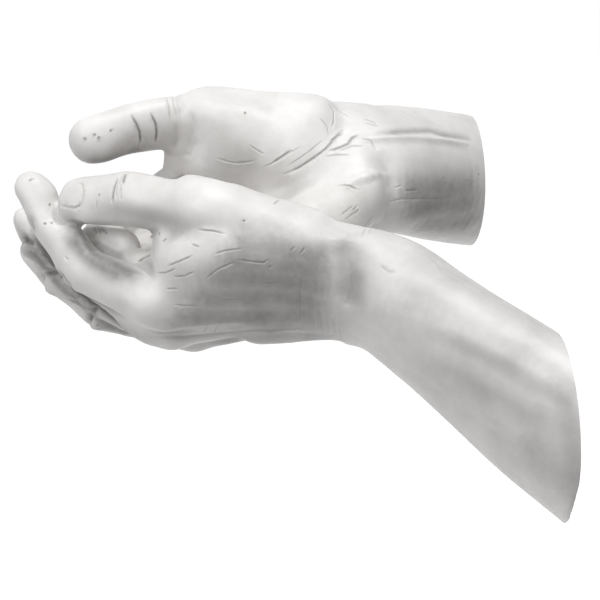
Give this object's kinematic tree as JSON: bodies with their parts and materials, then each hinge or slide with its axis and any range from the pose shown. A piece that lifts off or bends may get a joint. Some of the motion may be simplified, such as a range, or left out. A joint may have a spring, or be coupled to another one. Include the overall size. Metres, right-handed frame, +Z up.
{
  "type": "wall sculpture",
  "caption": "Wall sculpture of two cupped hands with forearms, reaching out from the wall as if to hold something, in antiqued off-white cast stone.",
  "frame": {"origin": "on the wall plane, midway between the two wrists, at about the height of the hands", "axes": "+Z up, -Y out of the wall toward the fingertips, +X toward the casting's left hand; the wall is the plane Y = 0"},
  "size_m": [0.2862, 0.2351, 0.138],
  "materials": {
    "cast_stone": "stone-filled resin, off-white, satin, with a grey antique wash in the creases",
    "plated_steel": "zinc plated"
  },
  "bodies": {
    "root": {"cupped_hands": "cast_stone", "left_hanger": "plated_steel", "left_hanger_screw_1": "plated_steel", "left_hanger_screw_2": "plated_steel", "right_hanger": "plated_steel", "right_hanger_screw_1": "plated_steel", "right_hanger_screw_2": "plated_steel"}
  },
  "joints": []
}
